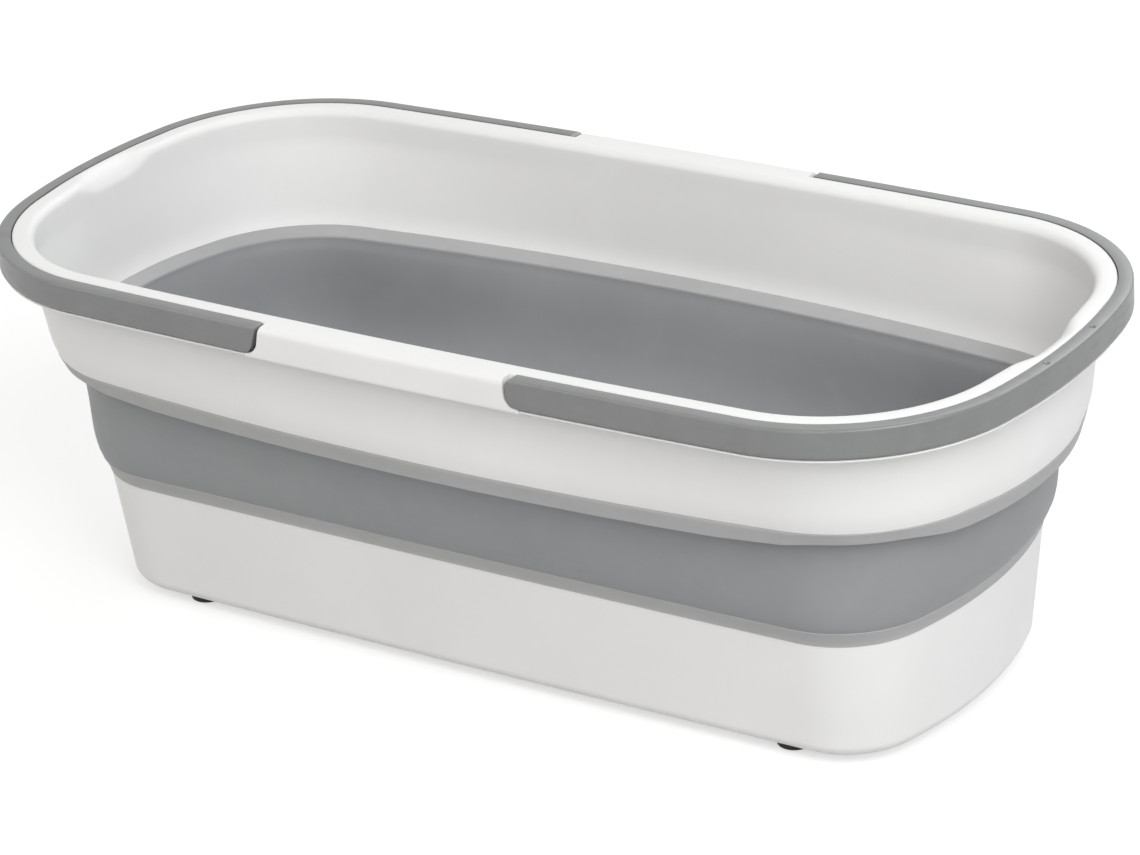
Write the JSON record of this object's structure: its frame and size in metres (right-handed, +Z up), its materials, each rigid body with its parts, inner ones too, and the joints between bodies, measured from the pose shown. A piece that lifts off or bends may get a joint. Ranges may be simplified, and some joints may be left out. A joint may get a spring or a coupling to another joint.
{
  "type": "collapsible bucket",
  "caption": "Oblong folding bucket with white rigid rim and tub, a grey soft fold band between them, and hoop handles that lie flush round the rim.",
  "frame": {"origin": "centre of the footprint on the surface that the feet stand on", "axes": "+X along the length, +Y across the width, +Z up"},
  "size_m": [0.46, 0.226, 0.155],
  "materials": {
    "white_polypropylene": "smooth satin white polypropylene",
    "light_grey_rubber": "matt light grey thermoplastic rubber",
    "dark_grey_rubber": "matt mid grey thermoplastic rubber",
    "grey_polypropylene": "satin grey polypropylene",
    "black_rubber": "matt black rubber"
  },
  "bodies": {
    "base": {"lower_tub": "white_polypropylene", "tub_liner": "dark_grey_rubber", "lower_fold_strip": "light_grey_rubber", "fold_band": "dark_grey_rubber", "foot_front_left": "black_rubber", "foot_front_right": "black_rubber", "foot_rear_left": "black_rubber", "foot_rear_right": "black_rubber"},
    "upper": {"upper_shell": "white_polypropylene", "upper_fold_strip": "light_grey_rubber"},
    "left_handle_body": {"left_handle": "grey_polypropylene"},
    "right_handle_body": {"right_handle": "grey_polypropylene"}
  },
  "joints": [
    {"name": "collapse", "type": "slide", "parent": "base", "child": "upper", "axis": [0, 0, 1], "range_m": [-0.08, 0], "deforming": ["fold_band"]},
    {"name": "left_handle_hinge", "type": "hinge", "parent": "upper", "child": "left_handle_body", "pos_m": [-0.0615, 0, 0.152], "axis": [0, 1, 0], "range_deg": [0, 105]},
    {"name": "right_handle_hinge", "type": "hinge", "parent": "upper", "child": "right_handle_body", "pos_m": [0.0615, 0, 0.152], "axis": [0, -1, 0], "range_deg": [0, 105]}
  ]
}
